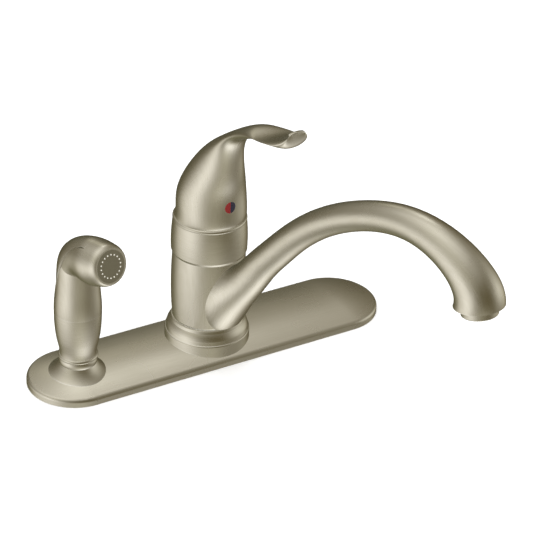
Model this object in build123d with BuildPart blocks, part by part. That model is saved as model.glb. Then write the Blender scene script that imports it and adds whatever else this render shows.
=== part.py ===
from build123d import *
from math import atan2, cos, pi, radians, sin, sqrt, tan
import os

os.makedirs("parts", exist_ok=True)

# One-handle kitchen faucet on a long deck plate, with a side spray.
# Millimetres. Origin on the body's axis, in the plane of the deck. +Z up, -Y towards the user.

# Layout
hole_spacing = 101.6
spout_heading = 15.0
handle_heading = 3.0
spray_heading = 11.0
running_gap = 0.3
fit_gap = 0.05
deck_thickness = 20.0

# Deck plate
plate_length = 275.0
plate_width = 66.8
plate_rim = 5.4
plate_crown = 9.7
plate_edge = 2.6
plate_wall = 1.6
seal_thickness = 1.5
seal_band = 4.0
tray_thickness = 3.0

# Valve body
shank_radius = 16.0
shank_length = 55.0
body_radius = 18.5
flange_top = 24.0
ring_bore = 24.3
cartridge_radius = 12.5
cartridge_floor = 40.0
passage_radius = 4.8
passage_circle = 7.6
port_radius = 4.0
port_height = 52.0
seal_land = 20.8
seal_land_height = 8.0
lower_seal_height = 34.0
upper_seal_height = 70.0
seal_wire = 1.7

# Base ring
ring_radius = 30.2
ring_step_radius = 29.1
ring_step = 15.6
ring_shoulder = 20.0
ring_top = 25.6
ring_top_radius = 25.7

# Spout
sleeve_bottom = ring_top + running_gap
sleeve_top = 77.8
sleeve_foot_radius = 24.9
sleeve_belly_radius = 26.15
sleeve_neck_radius = 25.5
sleeve_bore = 22.0
spout_wall = 2.2
outlet_reach = 238.0
outlet_rim = 142.6
outlet_lean = 10.0
outlet_radius = 16.7
outlet_lip = 1.4
tube_start = (52.5, 89.2)
tube_rise = 50.5
tube_shares = ((0.211, 0.822), (0.485, 1.425), (0.728, 1.601), (0.912, 1.418))
tube_root_radius = 11.6
tube_slim_radius = 10.1
tube_slim_share = 0.47
tube_flare = 2.3
tube_sections = 13
trunk_reach = (13.7, 22.0, 30.2, 41.5)
trunk_height = (44.8, 49.0, 58.5, 72.8)
trunk_tilt = (86.0, 77.5, 70.0, 45.5)
trunk_half_width = (18.8, 18.9, 16.2, 13.1)
trunk_up = (27.4, 24.2, 18.2, 13.7)
trunk_down = (28.9, 23.2, 17.4, 12.2)

# Aerator
aerator_radius = 12.1
aerator_thread = 11.5
aerator_depth = 8.0
aerator_drop = 6.2
aerator_bore = 9.9
aerator_mesh_thickness = 3.0
aerator_washer_thickness = 1.6

# Cap ring and its nut
cap_gap = 0.4
cap_bottom = sleeve_top + cap_gap
cap_top = 106.0
cap_radius = 26.8
cap_top_radius = 25.8
cap_bead = 2.2
cap_bore = 23.3
cap_recess = 1.8
cap_ledge_bottom = cap_bottom + cap_recess
cap_ledge_thickness = 4.0
nut_height = 7.0
body_top = cap_top - 6.0

# Cartridge, clip and stem
clip_thickness = 1.4
clip_leg = 3.0
cartridge_top = body_top + 1.8
stem_radius = 4.5
stem_bottom = 48.0
stem_head = 2.6
stem_pin_radius = 1.5

# Handle
skirt_bottom = cap_top + cap_gap
skirt_radius = 24.9
handle_wall = 2.4
hub_radius = 8.8
cavity_rows = 5
back_rail = (
    (-skirt_radius, 0.0),
    (-23.2, 14.9),
    (-17.5, 32.1),
    (-5.6, 49.6),
    (7.5, 62.5),
    (27.6, 77.4),
    (60.6, 93.8),
    (86.4, 99.0),
    (97.0, 108.5),
)
front_rail = (
    (skirt_radius, 0.0),
    (25.3, 14.9),
    (25.8, 28.9),
    (27.5, 40.1),
    (28.4, 54.1),
    (33.0, 70.1),
    (62.5, 88.1),
    (88.0, 94.9),
    (98.4, 105.8),
)
handle_half_width = (skirt_radius, 24.4, 21.4, 16.6, 12.6, 10.2, 12.8, 12.7, 5.9)
button_height = skirt_bottom + 16.6
button_radius = 4.2
button_depth = 1.8
screw_radius = 2.5
screw_length = 8.0
screw_boss_radius = 4.8

# Handle pivot and fork
pivot_radius = skirt_radius - handle_wall - 5 * running_gap
pivot_bottom = cartridge_top + running_gap
hinge_reach = -18.0
hinge_height = skirt_bottom + 3.6
hinge_pin_radius = 1.5
eye_radius = 2.3
pivot_top = hinge_height - eye_radius - 0.5
tongue_half = 2.9
clevis_half = 6.5
prong_inner = 5.2
prong_outer = 8.2
bridge_thickness = 3.4
bridge_bottom = hinge_height + stem_head + 2.0
bridge_top = bridge_bottom + bridge_thickness
post_radius = 6.0
post_height = 18.0
lift_angle = 18.0

# Side spray and its holder
holder_flange = ((23.7, 6.4), (20.9, 8.2), (18.8, 9.6), (15.7, 12.4))
holder_neck_radius = 12.9
holder_neck_height = 16.0
lower_bead_radius = 13.3
groove_radius = 12.8
groove_height = 20.4
collar_radius = 13.9
collar_top = 23.2
holder_bore = 11.8
holder_shank_radius = 14.5
holder_shank_length = 45.0
grip_foot_radius = 12.7
grip_seam = 57.0
seam_radius = 16.4
grip_profile = ((13.1, 27.4), (14.5, 34.0), (15.8, 43.0), (16.3, 50.0))
spigot_depth = 29.0
coupling_radius = 9.4
coupling_length = 26.0
coupling_grip = 18.0
grip_stop = 3.0
barb_radius = 6.5
barb_length = 12.0
elbow_radius = 17.0
elbow_height = 86.6
nozzle_pitch = 13.0
elbow_turn = 90 - nozzle_pitch
nozzle_length = 23.3
head_profile = ((16.4, 62.0), (16.0, 68.0), (15.4, 75.0), (14.9, 82.0), (14.4, 89.0), (13.5, 95.5))
dome_radius = 6.0
dome_height = 106.0
core_sections = ((66.0, 10.5), (77.0, 12.8))
elbow_sections = ((0.0, 13.5, 14.3, 11.0), (26.0, 13.6, 15.0, 11.5), (52.0, 14.2, 15.7, 12.5))
skin_sections = ((60.0, 16.3), (66.0, 15.8), (73.0, 15.1), (80.0, 14.5))
skin_turns = ((0.0, 14.3), (26.0, 15.0), (52.0, 15.7))
nozzle_root = (15.2, 16.2, 14.5)
nozzle_sections = ((8.0, 16.2), (16.0, 15.3), (21.5, 13.9), (nozzle_length, 12.4))
face_radius = 11.4
face_thickness = 2.0
face_holes = 18
face_hole_circle = 8.0
face_hole_radius = 0.6
face_seal_thickness = 1.5
chamber_radius = 9.0
chamber_depth = 8.0
waterway_radius = 5.0
head_spigot = 6.0
head_spigot_radius = 12.9
lever_inner = 13.2
lever_stand = 0.7
lever_heel = (-18.0, 80.2)
lever_edge = (
    (-9.2, 74.2),
    (-6.9, 80.5),
    (-5.2, 86.5),
    (-3.2, 92.0),
    (-0.7, 98.1),
    (2.6, 104.3),
    (6.2, 110.0),
    (9.4, 113.8),
    (13.6, 116.6),
    (19.0, 118.0),
)
lug_half = 2.5
lug_radius = 2.2
lever_pin_reach = 14.0
lever_pin_height = 113.0
lever_pin_radius = 1.0
lever_pin_half = 8.0
press_angle = 1.6
valve_height = 84.0
plunger_radius = 3.0
valve_radius = 5.0
valve_seat = -4.0
valve_thickness = 3.0
spring_radius = 3.2
spring_wire = 0.35
spring_turns = 5
spring_pitch = 1.4
valve_travel = (lever_pin_height - valve_height) * radians(press_angle) + running_gap

# Hardware below the deck
washer_thickness = 2.5
washer_radius = 26.0
shank_nut_radius = 25.0
holder_nut_radius = 21.0
nut_thickness = 8.0
stud_radius = 3.0
stud_length = 50.0
stud_nut_radius = 8.0
supply_radius = 4.76
supply_wall = 1.2
supply_length = 30.0
supply_seat = 20.0
supply_collar_radius = 6.2
supply_collar = 2.0

front = Plane(origin=(0, 0, 0), x_dir=(1, 0, 0), z_dir=(0, -1, 0))
side = Plane(origin=(0, 0, 0), x_dir=(0, -1, 0), z_dir=(-1, 0, 0))
spout_place = Location((0, 0, 0), (0, 0, spout_heading))
handle_place = Location((0, 0, 0), (0, 0, handle_heading))
spray_place = Location((-hole_spacing, 0, 0), (0, 0, spray_heading))

ellipse_pull = 4 * (sqrt(2) - 1) / 3


def polar(angle):
    """Unit direction in a sketch, angle degrees above its X axis."""
    return (cos(radians(angle)), sin(radians(angle)))


def on(place, plane):
    """The plane carried to a place: its heading and its axis."""
    return Plane(place * plane.location)


def station(place, reach, height, tilt):
    """Cross-section plane whose normal leans forward from upright by tilt degrees."""
    lean = radians(tilt)
    normal = (0, -sin(lean), cos(lean))
    return on(place, Plane(origin=(0, -reach, height), x_dir=(1, 0, 0), z_dir=normal))


def oval(half_width, back, front):
    """Closed smooth outline of four quarter ellipses, of one depth behind and another in front."""
    for across, depth in ((half_width, back), (-half_width, back), (-half_width, -front), (half_width, -front)):
        quarter = [(across, 0), (across, ellipse_pull * depth), (ellipse_pull * across, depth), (0, depth)]
        if across * depth < 0:
            quarter.reverse()
        Bezier(*quarter)


def plate_solid(length, width, rim, crown, edge, bottom=0.0):
    """Crowned plate with round ends: a straight run of one section, turned at both ends."""
    half = width / 2
    centre = length / 2 - half
    rise = crown - rim
    bow = (half * half + rise * rise) / (2 * rise)
    quarter = (half / 2, crown - bow + sqrt(bow * bow - half * half / 4))
    with BuildPart() as solid:
        with BuildSketch(Plane(origin=(-centre, 0, 0), x_dir=(0, 1, 0), z_dir=(1, 0, 0))):
            with BuildLine():
                Polyline((-half, rim), (-half, bottom), (half, bottom), (half, rim))
                ThreePointArc((half, rim), (0, crown), (-half, rim))
            make_face()
            corners = vertices().filter_by(lambda corner: corner.Y > bottom + edge)
            fillet(corners, radius=edge)
        extrude(amount=2 * centre)
        for end in (-centre, centre):
            with BuildSketch(Plane(origin=(end, 0, 0), x_dir=(1, 0, 0), z_dir=(0, -1, 0))):
                with BuildLine():
                    Polyline((0, crown), (0, bottom), (half, bottom), (half, rim))
                    ThreePointArc((half, rim), quarter, (0, crown))
                make_face()
                corners = vertices().filter_by(lambda corner: corner.Y > bottom + edge)
                fillet(corners.filter_by(lambda corner: corner.X > half / 2), radius=edge)
            revolve(axis=Axis((end, 0, 0), (0, 0, 1)))
    return solid.part


# Deck plate: a crowned shell with three holes under it
plate_outer = plate_solid(plate_length, plate_width, plate_rim, plate_crown, plate_edge)
plate_inner = plate_solid(
    plate_length - 2 * plate_wall,
    plate_width - 2 * plate_wall,
    plate_rim - plate_wall,
    plate_crown - plate_wall,
    plate_edge - plate_wall,
)

with BuildPart() as deck_plate:
    add(plate_outer)
    add(plate_inner, mode=Mode.SUBTRACT)
    Cylinder(shank_radius + running_gap, 4 * plate_crown, mode=Mode.SUBTRACT)
    with Locations((-hole_spacing, 0, 0)):
        Cylinder(holder_shank_radius + running_gap, 4 * plate_crown, mode=Mode.SUBTRACT)
deck_plate.part.label = "deck_plate"
export_step(deck_plate.part, "parts/deck_plate.step")

# Tray inside the shell, with a boss up to the crown under each thing that stands on it
tray_length = plate_length - 2 * plate_wall - 2 * running_gap
tray_width = plate_width - 2 * plate_wall - 2 * running_gap
tray_top = seal_thickness + tray_thickness
boss_margin = 5.0

with BuildPart() as tray:
    with BuildSketch(Plane.XY.offset(seal_thickness)):
        SlotOverall(tray_length, tray_width)
    extrude(amount=tray_thickness)
    with BuildSketch(Plane.XY.offset(tray_top)):
        Circle(shank_radius + 2 * boss_margin)
        with Locations((-hole_spacing, 0)):
            Circle(holder_shank_radius + boss_margin)
    extrude(amount=plate_crown - tray_top)
    add(plate_inner, mode=Mode.INTERSECT)
    with Locations((0, 0, 0)):
        Cylinder(shank_radius + running_gap, 4 * plate_crown, mode=Mode.SUBTRACT)
    with Locations((-hole_spacing, 0, 0)):
        Cylinder(holder_shank_radius + running_gap, 4 * plate_crown, mode=Mode.SUBTRACT)
    with Locations((hole_spacing, 0, 0)):
        Cylinder(stud_radius + fit_gap, 4 * plate_crown, mode=Mode.SUBTRACT)
tray.part.label = "underplate"
export_step(tray.part, "parts/underplate.step")

with BuildPart() as deck_seal:
    with BuildSketch():
        SlotOverall(tray_length, tray_width)
        SlotOverall(tray_length - 2 * seal_band, tray_width - 2 * seal_band, mode=Mode.SUBTRACT)
    extrude(amount=seal_thickness)
deck_seal.part.label = "deck_seal"
export_step(deck_seal.part, "parts/deck_seal.step")

# Stud that holds the plate's right end down, its head inside the shell
stud_head = 2.5

with BuildPart() as plate_stud:
    with BuildSketch(Plane.XY.offset(tray_top)):
        with Locations((hole_spacing, 0)):
            RegularPolygon(2 * stud_radius, 6)
    extrude(amount=stud_head)
    with BuildSketch(Plane.XY.offset(tray_top)):
        with Locations((hole_spacing, 0)):
            Circle(stud_radius)
    extrude(amount=-stud_length)
    chamfer(faces().sort_by(Axis.Z)[0].edges(), length=0.8)
plate_stud.part.label = "plate_stud"
export_step(plate_stud.part, "parts/plate_stud.step")

with BuildPart() as stud_nut:
    with BuildSketch(Plane.XY.offset(-deck_thickness)):
        with Locations((hole_spacing, 0)):
            Circle(2 * stud_radius)
            Rectangle(4 * stud_nut_radius, stud_radius)
            Circle(stud_radius + fit_gap, mode=Mode.SUBTRACT)
    extrude(amount=-stud_nut_radius)
    fillet(edges().filter_by(Axis.Z).group_by(SortBy.LENGTH)[-1], radius=0.8)
stud_nut.part.label = "plate_stud_nut"
export_step(stud_nut.part, "parts/plate_stud_nut.step")

# Base ring on the plate's crown, its underside cut to the crown
with BuildPart() as base_ring:
    with BuildSketch(Plane.XZ):
        with BuildLine():
            Polyline(
                (ring_bore, plate_rim - plate_wall),
                (ring_radius, plate_rim - plate_wall),
                (ring_radius - 0.2, ring_step - 1.2),
            )
            ThreePointArc(
                (ring_radius - 0.2, ring_step - 1.2),
                (ring_radius - 0.5, ring_step - 0.3),
                (ring_step_radius, ring_step),
            )
            Line((ring_step_radius, ring_step), (ring_step_radius - 0.4, ring_shoulder - 1.4))
            ThreePointArc(
                (ring_step_radius - 0.4, ring_shoulder - 1.4),
                (ring_step_radius - 1.1, ring_shoulder + 0.6),
                (ring_top_radius + 0.5, ring_top - 2.2),
            )
            Polyline(
                (ring_top_radius + 0.5, ring_top - 2.2),
                (ring_top_radius, ring_top - 0.4),
                (ring_top_radius - 0.4, ring_top),
                (ring_bore, ring_top),
                (ring_bore, plate_rim - plate_wall),
            )
        make_face()
    revolve(axis=Axis.Z)
    add(plate_outer, mode=Mode.SUBTRACT)
base_ring.part.label = "base_ring"
export_step(base_ring.part, "parts/base_ring.step")

# Valve body: shank, flange on the plate, column with two seal lands, cartridge bore
groove_floor = sleeve_bore - fit_gap - 2 * seal_wire
seal_heights = (lower_seal_height, upper_seal_height)
passage_angles = (-30, 90, 210)

with BuildPart() as valve_body:
    with BuildSketch(Plane.XZ):
        with BuildLine():
            Polyline(
                (0, -shank_length),
                (shank_radius - 1.0, -shank_length),
                (shank_radius, -shank_length + 1.0),
                (shank_radius, plate_crown),
                (ring_bore - running_gap, plate_crown),
                (ring_bore - running_gap, flange_top),
                (body_radius, flange_top),
                (body_radius, body_top),
                (0, body_top),
                (0, -shank_length),
            )
        make_face()
        for height in seal_heights:
            with Locations((seal_land / 2, height)):
                Rectangle(seal_land, seal_land_height)
            with Locations((sleeve_bore, height)):
                Rectangle(2 * (sleeve_bore - groove_floor), 2.1 * seal_wire, mode=Mode.SUBTRACT)
    revolve(axis=Axis.Z)
    with BuildSketch(Plane.XY.offset(body_top)):
        Circle(cartridge_radius + fit_gap)
    extrude(amount=cartridge_floor - body_top, mode=Mode.SUBTRACT)
    with BuildSketch(Plane.XY.offset(-shank_length)):
        for angle in passage_angles:
            with Locations((passage_circle * cos(radians(angle)), passage_circle * sin(radians(angle)))):
                Circle(passage_radius)
    extrude(amount=cartridge_floor + shank_length, mode=Mode.SUBTRACT)
    with BuildSketch(on(spout_place, front)):
        with Locations((0, port_height)):
            Circle(port_radius)
    extrude(amount=2 * body_radius, mode=Mode.SUBTRACT)
valve_body.part.label = "valve_body"
export_step(valve_body.part, "parts/valve_body.step")

# Seals in the body's two grooves, and the spout's two glide rings
with BuildPart() as spout_seals:
    for height in seal_heights:
        with BuildSketch(Plane.XZ):
            with Locations((sleeve_bore - fit_gap - seal_wire, height)):
                Circle(seal_wire)
        revolve(axis=Axis.Z)
spout_seals.part.label = "spout_seals"
export_step(spout_seals.part, "parts/spout_seals.step")

with BuildPart() as lower_glide:
    with BuildSketch(Plane.XY.offset(flange_top)):
        Circle(ring_bore - running_gap)
        Circle(body_radius + fit_gap, mode=Mode.SUBTRACT)
    extrude(amount=sleeve_bottom - fit_gap - flange_top)
lower_glide.part.label = "lower_glide"
export_step(lower_glide.part, "parts/lower_glide.step")

with BuildPart() as upper_glide:
    with BuildSketch(Plane.XY.offset(sleeve_top + fit_gap)):
        Circle(cap_bore - fit_gap)
        Circle(body_radius + fit_gap, mode=Mode.SUBTRACT)
    extrude(amount=cap_ledge_bottom - fit_gap - sleeve_top)
upper_glide.part.label = "upper_glide"
export_step(upper_glide.part, "parts/upper_glide.step")

# Spout: turned sleeve, trunk and arched tube, with one waterway through all of it
tube_run = (outlet_reach - tube_start[0], outlet_rim - tube_start[1])
tube_points = [(tube_start[0] + a * tube_run[0], tube_start[1] + b * tube_run[1]) for a, b in tube_shares]

with BuildLine(on(spout_place, side)) as spout_line:
    Spline(
        tube_start,
        *tube_points,
        (outlet_reach, outlet_rim),
        tangents=(polar(tube_rise), polar(outlet_lean - 90)),
    )
tube_path = spout_line.wires()[0]


def tube_radius_at(share):
    """Radius of the arched tube: slimmest before its top, flaring to the outlet."""
    if share < tube_slim_share:
        return tube_slim_radius + (tube_root_radius - tube_slim_radius) * (1 - share / tube_slim_share) ** 2
    along = (share - tube_slim_share) / (1 - tube_slim_share)
    return tube_slim_radius + (outlet_radius - tube_slim_radius) * along ** tube_flare


def tube_section(share):
    """Plane square to the tube at a share of its length, X across it."""
    return Plane(
        origin=tube_path @ share,
        x_dir=Vector(cos(radians(spout_heading)), sin(radians(spout_heading)), 0),
        z_dir=tube_path % share,
    )


def spout_shape(wall, last_radius):
    """Solid of the trunk and the tube, a wall inside their outside."""
    with BuildPart() as shape:
        for row in range(len(trunk_reach)):
            plane = station(spout_place, trunk_reach[row], trunk_height[row], trunk_tilt[row])
            with BuildSketch(plane):
                with BuildLine():
                    oval(trunk_half_width[row] - wall, trunk_up[row] - wall, trunk_down[row] - wall)
                make_face()
        for step in range(tube_sections):
            share = step / (tube_sections - 1)
            radius = min(tube_radius_at(share) - wall, last_radius)
            with BuildSketch(tube_section(share)):
                with BuildLine():
                    oval(radius, radius, radius)
                make_face()
        loft()
    return shape.part


outlet = station(spout_place, outlet_reach, outlet_rim, 180 - outlet_lean)
waterway_end = aerator_depth + aerator_washer_thickness

with BuildPart() as spout:
    add(spout_shape(0, outlet_radius))
    with BuildSketch(Plane.XZ):
        with BuildLine():
            Polyline(
                (sleeve_neck_radius, sleeve_top),
                (0, sleeve_top),
                (0, sleeve_bottom),
                (sleeve_foot_radius, sleeve_bottom),
            )
            ThreePointArc(
                (sleeve_foot_radius, sleeve_bottom),
                (sleeve_belly_radius, (sleeve_bottom + sleeve_top) / 2 + 4),
                (sleeve_neck_radius, sleeve_top),
            )
        make_face()
    revolve(axis=Axis.Z)
    with BuildSketch(Plane.XY.offset(sleeve_bottom)):
        Circle(3 * sleeve_belly_radius)
    extrude(amount=-sleeve_bottom, mode=Mode.SUBTRACT)
    fillet(faces().sort_by(Axis(outlet.origin, outlet.z_dir))[-1].edges(), radius=outlet_lip)
    add(spout_shape(spout_wall, aerator_bore), mode=Mode.SUBTRACT)
    with BuildSketch(outlet):
        Circle(aerator_thread + fit_gap)
    extrude(amount=-waterway_end, mode=Mode.SUBTRACT)
    with BuildSketch(Plane.XY.offset(sleeve_bottom)):
        Circle(sleeve_bore)
    extrude(amount=sleeve_top, mode=Mode.SUBTRACT)
spout.part.label = "spout"
export_step(spout.part, "parts/spout.step")

# Aerator, screwed into the outlet with its washer above it
with BuildPart() as aerator_housing:
    with BuildSketch(outlet.offset(-aerator_depth)):
        Circle(aerator_thread)
    extrude(amount=aerator_depth)
    with BuildSketch(outlet):
        Circle(aerator_radius)
    extrude(amount=aerator_drop)
    fillet(faces().sort_by(Axis(outlet.origin, outlet.z_dir))[-1].edges(), radius=0.7)
    with BuildSketch(outlet.offset(-aerator_depth)):
        Circle(aerator_bore)
    extrude(amount=aerator_depth + aerator_drop, mode=Mode.SUBTRACT)
aerator_housing.part.label = "aerator_housing"
export_step(aerator_housing.part, "parts/aerator_housing.step")

mesh_pitch = 2.6
mesh_hole = 0.95

with BuildPart() as aerator_insert:
    with BuildSketch(outlet.offset(aerator_drop - 1.2)):
        Circle(aerator_bore - fit_gap)
        with HexLocations(mesh_pitch / 2, 7, 7):
            Circle(mesh_hole, mode=Mode.SUBTRACT)
    extrude(amount=-aerator_mesh_thickness)
aerator_insert.part.label = "aerator_insert"
export_step(aerator_insert.part, "parts/aerator_insert.step")

with BuildPart() as aerator_washer:
    with BuildSketch(outlet.offset(-aerator_depth)):
        Circle(aerator_thread - fit_gap)
        Circle(aerator_bore - 1.5, mode=Mode.SUBTRACT)
    extrude(amount=-aerator_washer_thickness)
aerator_washer.part.label = "aerator_washer"
export_step(aerator_washer.part, "parts/aerator_washer.step")

# Cap ring around the body's top, held by a nut on its inner ledge
ledge_top = cap_ledge_bottom + cap_ledge_thickness

with BuildPart() as cap_ring:
    with BuildSketch(Plane.XZ):
        with BuildLine():
            Polyline(
                (cap_bore, cap_bottom),
                (sleeve_neck_radius + 0.2, cap_bottom),
                (cap_radius - 0.2, cap_bottom + 1.8),
            )
            ThreePointArc(
                (cap_radius - 0.2, cap_bottom + 1.8),
                (cap_radius - 0.1, (cap_bottom + cap_top) / 2 - 3),
                (cap_top_radius - 0.1, cap_top - cap_bead),
            )
            ThreePointArc(
                (cap_top_radius - 0.1, cap_top - cap_bead),
                (cap_top_radius + 0.1, cap_top - cap_bead / 2),
                (cap_top_radius - cap_bead / 2, cap_top),
            )
            Polyline(
                (cap_top_radius - cap_bead / 2, cap_top),
                (cap_bore, cap_top),
                (cap_bore, ledge_top),
                (body_radius + fit_gap, ledge_top),
                (body_radius + fit_gap, cap_ledge_bottom),
                (cap_bore, cap_ledge_bottom),
                (cap_bore, cap_bottom),
            )
        make_face()
    revolve(axis=Axis.Z)
cap_ring.part.label = "cap_ring"
export_step(cap_ring.part, "parts/cap_ring.step")

with BuildPart() as retainer_nut:
    with BuildSketch(Plane.XY.offset(ledge_top)):
        Circle(cap_bore - running_gap)
        Circle(body_radius + fit_gap, mode=Mode.SUBTRACT)
        with PolarLocations(cap_bore, 6):
            Rectangle(4, 4, mode=Mode.SUBTRACT)
    extrude(amount=nut_height)
retainer_nut.part.label = "retainer_nut"
export_step(retainer_nut.part, "parts/retainer_nut.step")

# Cartridge, its clip, and the stem that turns and rises in it
clip_inner = cartridge_radius - 1.2
clip_outer = clip_inner + clip_leg
clip_back = cartridge_radius + fit_gap + clip_leg

with BuildPart() as cartridge_sleeve:
    with BuildSketch(Plane.XY.offset(cartridge_floor)):
        Circle(cartridge_radius)
        Circle(stem_radius + fit_gap, mode=Mode.SUBTRACT)
    extrude(amount=cartridge_top - cartridge_floor)
    with BuildSketch(Plane.XY.offset(body_top)):
        for shift in (-1, 1):
            with Locations((shift * (clip_inner + clip_leg / 2), 0)):
                Rectangle(clip_leg, 4 * cartridge_radius)
    extrude(amount=clip_thickness, mode=Mode.SUBTRACT)
    with BuildSketch(on(spout_place, front)):
        with Locations((0, port_height)):
            Circle(port_radius - 0.5)
    extrude(amount=2 * cartridge_radius, mode=Mode.SUBTRACT)
cartridge_sleeve.part.label = "cartridge_sleeve"
export_step(cartridge_sleeve.part, "parts/cartridge_sleeve.step")

with BuildPart() as retaining_clip:
    with BuildSketch(Plane.XY.offset(body_top)):
        with Locations((0, (clip_back - cartridge_radius) / 2)):
            Rectangle(2 * clip_outer, clip_back + cartridge_radius)
        with Locations((0, -clip_leg / 2)):
            Rectangle(2 * clip_inner, 2 * cartridge_radius + clip_leg + 4 * fit_gap, mode=Mode.SUBTRACT)
    extrude(amount=clip_thickness)
retaining_clip.part.label = "retaining_clip"
export_step(retaining_clip.part, "parts/retaining_clip.step")

with BuildPart() as cartridge_stem:
    with BuildSketch(Plane.XY.offset(stem_bottom)):
        Circle(stem_radius)
    extrude(amount=hinge_height + stem_head - stem_bottom)
    chamfer(faces().sort_by(Axis.Z)[-1].edges(), length=0.8)
    with BuildSketch(on(handle_place, Plane.YZ)):
        with Locations((0, hinge_height)):
            Circle(stem_pin_radius)
    extrude(amount=stem_radius, both=True, mode=Mode.SUBTRACT)
cartridge_stem.part.label = "cartridge_stem"
export_step(cartridge_stem.part, "parts/cartridge_stem.step")

with BuildPart() as stem_pin:
    with BuildSketch(on(handle_place, Plane.YZ)):
        with Locations((0, hinge_height)):
            Circle(stem_pin_radius)
    extrude(amount=prong_outer, both=True)
stem_pin.part.label = "stem_pin"
export_step(stem_pin.part, "parts/stem_pin.step")

# Pivot that turns with the handle, with a clevis for its hinge at the back
with BuildPart() as handle_pivot:
    with BuildSketch(Plane.XY.offset(pivot_bottom)):
        Circle(pivot_radius)
        Circle(stem_radius + fit_gap, mode=Mode.SUBTRACT)
    extrude(amount=pivot_top - pivot_bottom)
    with BuildSketch(on(handle_place, side)):
        with Locations((hinge_reach, hinge_height)):
            Circle(eye_radius)
        with Locations((hinge_reach, (hinge_height + pivot_bottom) / 2)):
            Rectangle(2 * eye_radius, hinge_height - pivot_bottom)
    extrude(amount=clevis_half, both=True)
    with BuildSketch(on(handle_place, side)):
        with Locations((hinge_reach, hinge_height)):
            Rectangle(4 * eye_radius, 2 * (hinge_height - pivot_top))
    extrude(amount=tongue_half + running_gap, both=True, mode=Mode.SUBTRACT)
    with BuildSketch(on(handle_place, side)):
        with Locations((hinge_reach, hinge_height)):
            Circle(hinge_pin_radius)
    extrude(amount=2 * clevis_half, both=True, mode=Mode.SUBTRACT)
    with BuildSketch(on(handle_place, front).offset(hinge_reach - eye_radius - running_gap)):
        Rectangle(4 * pivot_radius, 4 * pivot_top)
    extrude(amount=-pivot_radius, mode=Mode.SUBTRACT)
handle_pivot.part.label = "handle_pivot"
export_step(handle_pivot.part, "parts/handle_pivot.step")

with BuildPart() as hinge_pin:
    with BuildSketch(on(handle_place, side)):
        with Locations((hinge_reach, hinge_height)):
            Circle(hinge_pin_radius)
    extrude(amount=clevis_half, both=True)
hinge_pin.part.label = "hinge_pin"
export_step(hinge_pin.part, "parts/hinge_pin.step")

# Fork in the handle: tongue to the hinge, two slotted prongs over the stem's pin, post above
prong_front = stem_radius
tongue_front = -stem_radius - 1.0
bar_back = tongue_front - 3.6
slot_drift = -hinge_reach * (1 / cos(radians(lift_angle)) - 1)
pin_slot = stem_pin_radius + 0.15

with BuildPart() as handle_fork:
    with BuildSketch(on(handle_place, side)):
        with Locations((hinge_reach, hinge_height)):
            Circle(eye_radius)
        with Locations(((hinge_reach + tongue_front) / 2, hinge_height)):
            Rectangle(tongue_front - hinge_reach, 2 * eye_radius)
    extrude(amount=tongue_half, both=True)
    with BuildSketch(on(handle_place, side)):
        with BuildLine():
            Polyline(
                (bar_back, hinge_height - eye_radius),
                (prong_front, hinge_height - eye_radius),
                (prong_front, bridge_top),
                (bar_back, bridge_top),
                close=True,
            )
        make_face()
    extrude(amount=prong_outer, both=True)
    with BuildSketch(on(handle_place, side)):
        with BuildLine():
            Polyline(
                (tongue_front, 0),
                (2 * prong_front, 0),
                (2 * prong_front, bridge_bottom),
                (tongue_front, bridge_bottom),
                close=True,
            )
        make_face()
    extrude(amount=prong_inner, both=True, mode=Mode.SUBTRACT)
    with BuildSketch(on(handle_place, side)):
        with Locations((slot_drift / 2, hinge_height)):
            SlotCenterToCenter(slot_drift + 0.3, 2 * pin_slot)
        with Locations((hinge_reach, hinge_height)):
            Circle(hinge_pin_radius + fit_gap)
    extrude(amount=2 * prong_outer, both=True, mode=Mode.SUBTRACT)
    with BuildSketch(Plane.XY.offset(bridge_top)):
        Circle(post_radius)
    extrude(amount=post_height)
handle_fork.part.label = "handle_fork"
export_step(handle_fork.part, "parts/handle_fork.step")

# Handle: hollow dome that sweeps forward into a thin lever, one casting


def handle_shape(wall, rows, drop):
    """Loft through the handle's ovals, each between the back rail and the front rail."""
    with BuildPart() as shape:
        for row in range(rows):
            back_point = Vector(*back_rail[row])
            front_point = Vector(*front_rail[row])
            middle = (back_point + front_point) / 2
            depth = (front_point - back_point).length / 2 - wall
            slope = front_point - back_point
            tilt = -atan2(slope.Y, slope.X) * 180 / pi
            lower = drop if row == 0 else 0
            plane = station(handle_place, middle.X, skirt_bottom + middle.Y - lower, tilt)
            with BuildSketch(plane):
                with BuildLine():
                    oval(handle_half_width[row] - wall, depth, depth)
                make_face()
        loft()
    return shape.part


handle_outer = handle_shape(0, len(back_rail), 0)
handle_inner = handle_shape(handle_wall, cavity_rows, handle_wall)
front_wall = front_rail[1][0]

with BuildPart() as handle_cavity:
    add(handle_inner)
    with BuildSketch(Plane.XY.offset(bridge_top + fit_gap)):
        Circle(hub_radius)
    extrude(amount=8 * hub_radius, mode=Mode.SUBTRACT)
    with BuildSketch(on(handle_place, front)):
        with Locations((0, button_height)):
            Circle(screw_boss_radius)
    extrude(amount=2 * skirt_radius, mode=Mode.SUBTRACT)

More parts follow.
